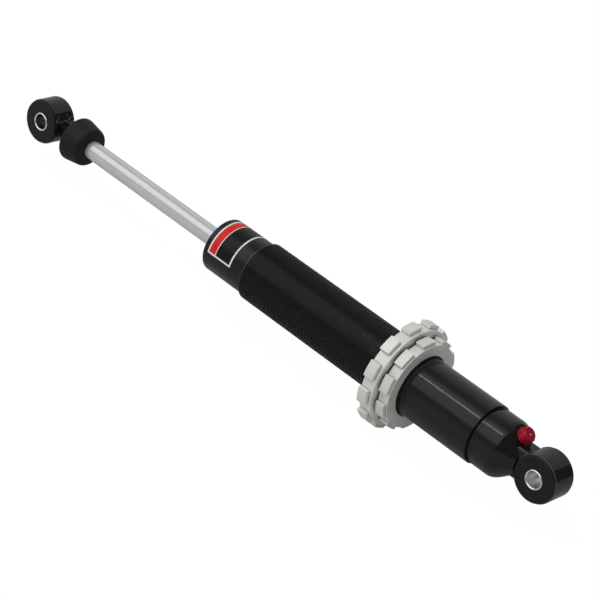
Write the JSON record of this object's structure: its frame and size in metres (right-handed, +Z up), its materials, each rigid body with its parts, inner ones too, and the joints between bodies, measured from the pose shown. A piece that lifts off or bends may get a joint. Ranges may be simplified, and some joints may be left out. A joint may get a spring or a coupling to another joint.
{
  "type": "ski shock absorber",
  "caption": "Gas-charged monotube shock absorber with a bushed eye at each end, a threaded body with castellated spring-seat rings, a chromed rod and a rubber bump stop.",
  "frame": {"origin": "centre of the body eye's bore", "axes": "+X along the shock from the body eye to the rod eye, +Y along both eye bores, +Z up on the gas valve's side"},
  "size_m": [0.471, 0.0712, 0.0712],
  "materials": {
    "anodised_black": "glossy hard-anodised aluminium, black",
    "painted_black": "satin black paint on steel",
    "ring_grey": "matte warm grey clear-anodised aluminium",
    "rod_chrome": "ground and hard-chromed steel",
    "zinc_steel": "zinc-plated steel",
    "bushing_black": "black moulded polymer",
    "rubber_black": "matte black rubber",
    "valve_brass": "machined brass",
    "valve_black": "black zinc-plated steel",
    "cap_red": "red anodised aluminium",
    "piston_aluminium": "turned aluminium",
    "shim_steel": "blued spring steel",
    "decal_print": "blank printed foil decal",
    "band_polymer": "brown bearing polymer"
  },
  "bodies": {
    "shock_body": {"body_tube": "anodised_black", "body_end_cap": "anodised_black", "end_cap_o_ring": "rubber_black", "valve_stem": "valve_black", "valve_o_ring": "rubber_black", "seal_head": "anodised_black", "seal_head_o_ring": "rubber_black", "rod_bushing": "band_polymer", "rod_seal": "rubber_black", "rod_wiper": "rubber_black", "retaining_ring": "zinc_steel", "body_eye_bushing_front": "bushing_black", "body_eye_bushing_back": "bushing_black"},
    "body_sleeve": {"body_eye_sleeve": "zinc_steel"},
    "valve_core": {"valve_pin": "valve_brass"},
    "dust_cap": {"valve_cap": "cap_red", "valve_cap_seal": "rubber_black"},
    "spring_adjuster": {"adjuster_ring": "ring_grey"},
    "locking_ring": {"lock_ring": "ring_grey"},
    "gas_piston": {"floating_piston": "piston_aluminium", "floating_piston_o_ring": "rubber_black", "floating_piston_band": "band_polymer"},
    "sliding_band": {"piston_band": "band_polymer"},
    "rod_assembly": {"piston_rod": "rod_chrome", "rod_eye": "painted_black", "bump_stop": "rubber_black", "bump_stop_washer": "zinc_steel", "main_piston": "piston_aluminium", "compression_shims": "shim_steel", "rebound_shims": "shim_steel", "piston_nut": "zinc_steel", "top_out_plate": "zinc_steel", "top_out_bumper": "band_polymer", "rod_eye_bushing_front": "bushing_black", "rod_eye_bushing_back": "bushing_black"},
    "rod_sleeve": {"rod_eye_sleeve": "zinc_steel"}
  },
  "joints": [
    {"name": "rod_stroke", "type": "slide", "parent": "shock_body", "child": "sliding_band", "axis": [-1, 0, 0], "range_m": [0, 0.1286], "stiffness_N_per_m": 2270, "springref_m": -0.005},
    {"name": "rod_swivel", "type": "hinge", "parent": "sliding_band", "child": "rod_assembly", "pos_m": [0.441, 0, 0], "axis": [1, 0, 0], "continuous": true},
    {"name": "rod_sleeve_turn", "type": "hinge", "parent": "rod_assembly", "child": "rod_sleeve", "pos_m": [0.441, 0, 0], "axis": [0, 1, 0], "continuous": true},
    {"name": "body_sleeve_turn", "type": "hinge", "parent": "shock_body", "child": "body_sleeve", "pos_m": [0, 0, 0], "axis": [0, 1, 0], "continuous": true},
    {"name": "gas_piston_travel", "type": "slide", "parent": "shock_body", "child": "gas_piston", "axis": [-1, 0, 0], "range_m": [0, 0.0186]},
    {"name": "preload_travel", "type": "slide", "parent": "shock_body", "child": "spring_adjuster", "axis": [1, 0, 0], "range_m": [0, 0.118]},
    {"name": "lock_ring_travel", "type": "slide", "parent": "spring_adjuster", "child": "locking_ring", "axis": [1, 0, 0], "range_m": [-0.001, 0.001]},
    {"name": "valve_cap_removal", "type": "slide", "parent": "shock_body", "child": "dust_cap", "axis": [-0.7071, 0, 0.7071], "range_m": [0, 0.012]},
    {"name": "valve_pin_press", "type": "slide", "parent": "shock_body", "child": "valve_core", "axis": [0.7071, 0, -0.7071], "range_m": [0, 0.001], "stiffness_N_per_m": 300, "springref_m": -0.001}
  ],
  "couplings": [
    {"joint": "gas_piston_travel", "follows": "rod_stroke", "ratio": 0.14348}
  ]
}
